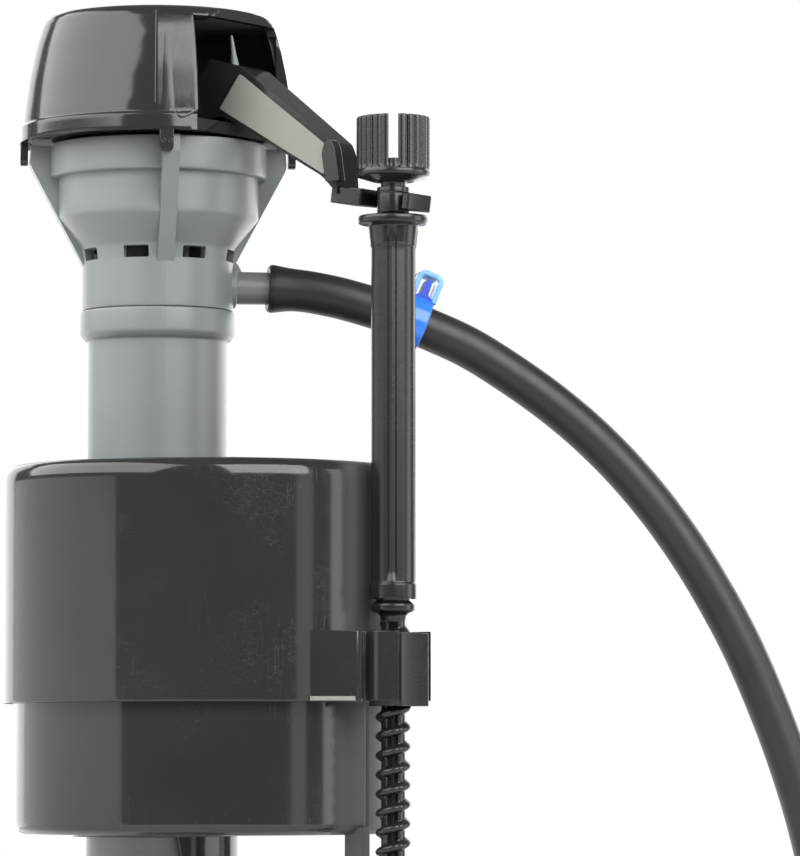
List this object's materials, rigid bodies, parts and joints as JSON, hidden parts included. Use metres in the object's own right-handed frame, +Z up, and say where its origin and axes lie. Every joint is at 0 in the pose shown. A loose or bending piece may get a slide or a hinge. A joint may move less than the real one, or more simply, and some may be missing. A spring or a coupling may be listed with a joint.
{
  "type": "toilet fill valve",
  "caption": "Float-cup toilet fill valve with a telescoping riser, capped valve head, side adjusting rod, refill hose and threaded shank with nut.",
  "frame": {"origin": "on the shank's axis, in the plane where the shank washer meets the tank floor", "axes": "+Z up along the riser; +X from the riser towards the adjusting rod; +Y completes the right-handed frame"},
  "size_m": [0.1265, 0.1389, 0.2856],
  "materials": {
    "grey_plastic": "satin",
    "black_plastic": "gloss",
    "cup_plastic": "polished, finely scratched",
    "black_rubber": "satin",
    "white_plastic": "satin",
    "blue_plastic": "translucent gloss",
    "spring_steel": "satin"
  },
  "bodies": {
    "base": {"shank_base": "grey_plastic", "shank_washer": "black_rubber", "inlet_strainer": "white_plastic"},
    "nut_ring": {"friction_washer": "white_plastic"},
    "nut": {"lock_nut": "black_plastic"},
    "lift": {"lift_seal": "black_rubber"},
    "riser": {"riser_tube": "grey_plastic", "valve_body": "grey_plastic", "supply_tube": "grey_plastic", "seat_insert": "white_plastic", "refill_hose": "black_rubber", "flow_clip": "blue_plastic", "angle_adapter": "white_plastic", "overflow_clip": "spring_steel"},
    "cap": {"valve_cap": "black_plastic", "lever_pin": "spring_steel", "cap_seal": "black_rubber"},
    "lever": {"lever": "black_plastic"},
    "plunger": {"plunger": "white_plastic"},
    "seal": {"seal_disc": "black_rubber"},
    "rod_carrier": {"fork_bushing": "black_plastic"},
    "screw": {"adjusting_rod": "black_plastic"},
    "float": {"float_cup_upper": "cup_plastic", "float_cup_lower": "cup_plastic", "thread_clip": "black_plastic"}
  },
  "joints": [
    {"name": "nut_travel", "type": "slide", "parent": "base", "child": "nut_ring", "axis": [0, 0, 1], "range_m": [-0.0299, 0.0095]},
    {"name": "nut_turn", "type": "hinge", "parent": "nut_ring", "child": "nut", "pos_m": [0, 0, -0.017], "axis": [0, 0, 1], "range_deg": [-5940, 1890]},
    {"name": "height_travel", "type": "slide", "parent": "base", "child": "lift", "axis": [0, 0, 1], "range_m": [0, 0.127]},
    {"name": "height_turn", "type": "hinge", "parent": "lift", "child": "riser", "pos_m": [0, 0, 0.019], "axis": [0, 0, 1], "range_deg": [0, 3601]},
    {"name": "cap_turn", "type": "hinge", "parent": "riser", "child": "cap", "pos_m": [0, 0, 0.2039], "axis": [0, 0, 1], "range_deg": [-45, 0]},
    {"name": "lever_swing", "type": "hinge", "parent": "cap", "child": "lever", "pos_m": [0.009, 0, 0.2098], "axis": [0, -1, 0], "range_deg": [0, 8]},
    {"name": "plunger_slide", "type": "slide", "parent": "cap", "child": "plunger", "axis": [0, 0, 1], "range_m": [-0.0013, 0]},
    {"name": "seal_slide", "type": "slide", "parent": "cap", "child": "seal", "axis": [0, 0, 1], "range_m": [-0.00105, 0]},
    {"name": "rod_lift", "type": "slide", "parent": "cap", "child": "rod_carrier", "axis": [0, 0, 1], "range_m": [0, 0.00687]},
    {"name": "rod_turn", "type": "hinge", "parent": "rod_carrier", "child": "screw", "pos_m": [0.057, 0, 0.1894], "axis": [0, 0, 1], "range_deg": [-271, 3601]},
    {"name": "float_travel", "type": "slide", "parent": "rod_carrier", "child": "float", "axis": [0, 0, 1], "range_m": [-0.036, 0.0027]}
  ],
  "couplings": [
    {"joint": "nut_turn", "follows": "nut_travel", "rad_per_m": 3463.1},
    {"joint": "height_turn", "follows": "height_travel", "rad_per_m": 494.74},
    {"joint": "lever_swing", "follows": "rod_lift", "rad_per_m": 20.296},
    {"joint": "plunger_slide", "follows": "rod_lift", "ratio": -0.18267},
    {"joint": "seal_slide", "follows": "rod_lift", "ratio": -0.14532},
    {"joint": "rod_turn", "follows": "float_travel", "rad_per_m": -1745.3}
  ]
}
